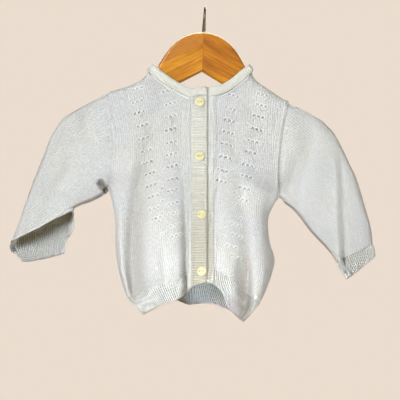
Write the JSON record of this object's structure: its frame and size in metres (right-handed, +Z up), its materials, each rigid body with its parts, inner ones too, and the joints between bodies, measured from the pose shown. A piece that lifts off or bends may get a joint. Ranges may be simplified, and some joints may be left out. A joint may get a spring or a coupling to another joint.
{
  "type": "baby cardigan on hanger",
  "caption": "Fine-knit long-sleeved baby cardigan with lace columns, ribbed edges and a buttoned front, hanging on a varnished wooden child's hanger with a wire hook.",
  "frame": {"origin": "the inside top of the hook, where a rail or nail carries the hanger", "axes": "+X to the wearer's left, across the front; +Y to the back of the cardigan; +Z up"},
  "size_m": [0.4032, 0.0754, 0.3474],
  "materials": {
    "knit": "fine plain cotton knit, off-white, matt",
    "rib": "one-by-one ribbed knit, off-white, matt",
    "band": "close cream ribbed band, matt",
    "button": "pale yellow, glossy, two holes",
    "wood": "honey-coloured varnished hardwood",
    "wire": "dulled steel wire"
  },
  "bodies": {
    "root": {"front_right": "knit", "front_left": "knit", "back": "knit", "sleeve_right": "knit", "sleeve_left": "knit", "welt_front_right": "rib", "welt_front_left": "rib", "welt_back": "rib", "cuff_right": "rib", "cuff_left": "rib", "neckband": "band", "buttonhole_band": "band", "button_band": "band", "button_1": "button", "button_2": "button", "button_3": "button", "button_4": "button", "hanger_arm_right": "wood", "hanger_arm_left": "wood", "hook": "wire"}
  },
  "joints": []
}
